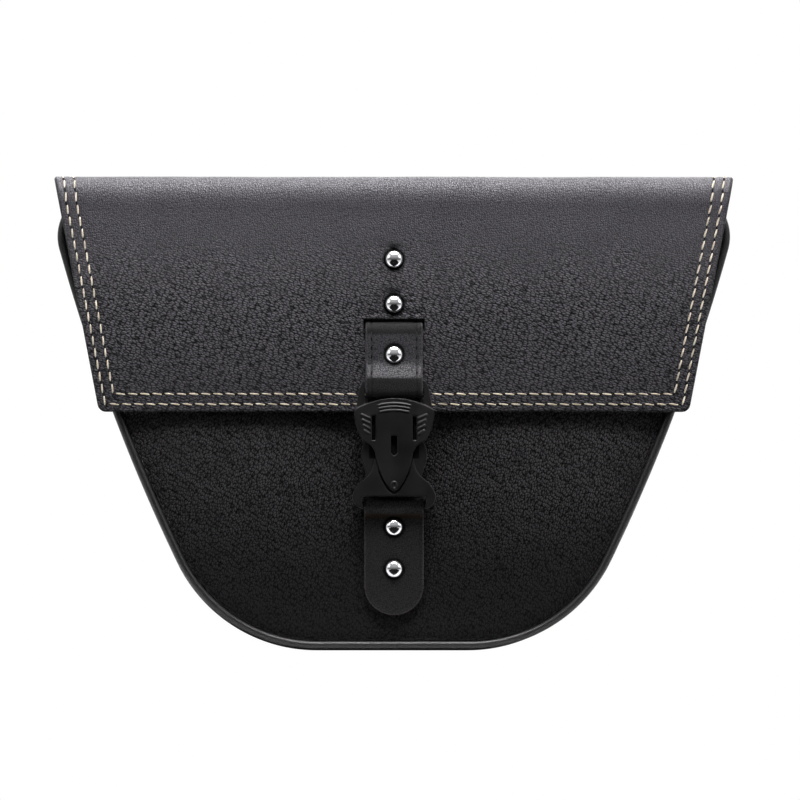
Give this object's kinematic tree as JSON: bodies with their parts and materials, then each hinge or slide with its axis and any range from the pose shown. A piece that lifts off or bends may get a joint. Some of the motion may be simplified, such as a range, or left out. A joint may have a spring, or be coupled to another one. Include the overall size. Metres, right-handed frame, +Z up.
{
  "type": "saddlebag",
  "caption": "Leather motorcycle saddlebag with a fold-over flap, riveted strap, squeeze buckle and rear hanging straps.",
  "frame": {"origin": "middle of the base, midway between the front and rear panels; the bounding box's own centre is under 2 mm forward of it", "axes": "+X across the bag, to the right seen from the front; +Y to the rear panel, which hangs on the machine; +Z up"},
  "size_m": [0.4, 0.1295, 0.278],
  "materials": {
    "grained_leather": "pebble-grained black leather, satin",
    "back_leather": "fine-grained black leather, matt",
    "flap_leather": "pebble-grained black leather, satin",
    "piping": "smooth black piping, glossy",
    "binding": "smooth black binding tape",
    "strap_leather": "smooth black strap leather, satin",
    "board": "black stiffening board",
    "lining": "black woven lining",
    "buckle_plastic": "black moulded acetal, satin",
    "chrome_stud": "polished chrome plating",
    "steel_back": "nickel-plated steel"
  },
  "bodies": {
    "bag": {"back_board": "board", "back_lining": "lining", "back_panel": "back_leather", "base_board": "board", "bridge_rivets": "chrome_stud", "bridge_washers": "steel_back", "closure_tab": "strap_leather", "flap_tail": "flap_leather", "front_board": "board", "front_lining": "lining", "front_panel": "grained_leather", "front_piping": "piping", "gusset_band": "grained_leather", "gusset_lining": "lining", "hanging_strap_left": "strap_leather", "hanging_strap_right": "strap_leather", "rim_binding": "binding", "strap_bridge_left_high": "strap_leather", "strap_bridge_left_low": "strap_leather", "strap_bridge_right_high": "strap_leather", "strap_bridge_right_low": "strap_leather", "stud_cap_left": "chrome_stud", "stud_cap_right": "chrome_stud", "stud_ring_left": "steel_back", "stud_ring_right": "steel_back", "tab_rivet_high": "chrome_stud", "tab_rivet_high_washer": "steel_back", "tab_rivet_low": "chrome_stud", "tab_rivet_low_washer": "steel_back"},
    "flap_top": {"flap_top": "flap_leather", "flap_board": "board", "flap_top_lining": "lining", "flap_fold": "flap_leather"},
    "flap_skirt": {"flap_skirt": "flap_leather", "flap_skirt_lining": "lining", "closure_strap": "strap_leather", "flap_rivet_high": "chrome_stud", "flap_rivet_high_washer": "steel_back", "flap_rivet_low": "chrome_stud", "flap_rivet_low_washer": "steel_back", "strap_rivet": "chrome_stud", "strap_rivet_washer": "steel_back"},
    "buckle_socket_body": {"buckle_socket": "buckle_plastic"},
    "buckle_plug_body": {"buckle_plug": "buckle_plastic"},
    "arm_left": {"squeeze_arm_left": "buckle_plastic"},
    "arm_right": {"squeeze_arm_right": "buckle_plastic"}
  },
  "joints": [
    {"name": "flap_open", "type": "hinge", "parent": "bag", "child": "flap_top", "pos_m": [0, 0.0511, 0.277], "axis": [-1, 0, 0], "range_deg": [0, 125]},
    {"name": "skirt_lift", "type": "hinge", "parent": "flap_top", "child": "flap_skirt", "pos_m": [0, -0.0417, 0.262], "axis": [-1, 0, 0], "range_deg": [0, 80], "deforming": ["flap_fold"]},
    {"name": "socket_swing", "type": "hinge", "parent": "flap_skirt", "child": "buckle_socket_body", "pos_m": [0, -0.0623, 0.152], "axis": [-1, 0, 0], "range_deg": [0, 45]},
    {"name": "plug_tilt", "type": "hinge", "parent": "bag", "child": "buckle_plug_body", "pos_m": [0, -0.057, 0.085], "axis": [1, 0, 0], "range_deg": [-8, 0]},
    {"name": "arm_left_squeeze", "type": "hinge", "parent": "buckle_plug_body", "child": "arm_left", "pos_m": [-0.0135, -0.0605, 0.1], "axis": [0, 1, 0], "range_deg": [0, 6], "stiffness_Nm_per_rad": 0.1},
    {"name": "arm_right_squeeze", "type": "hinge", "parent": "buckle_plug_body", "child": "arm_right", "pos_m": [0.0135, -0.0605, 0.1], "axis": [0, 1, 0], "range_deg": [-6, 0], "stiffness_Nm_per_rad": 0.1}
  ],
  "couplings": [
    {"joint": "arm_right_squeeze", "follows": "arm_left_squeeze", "ratio": -1}
  ]
}
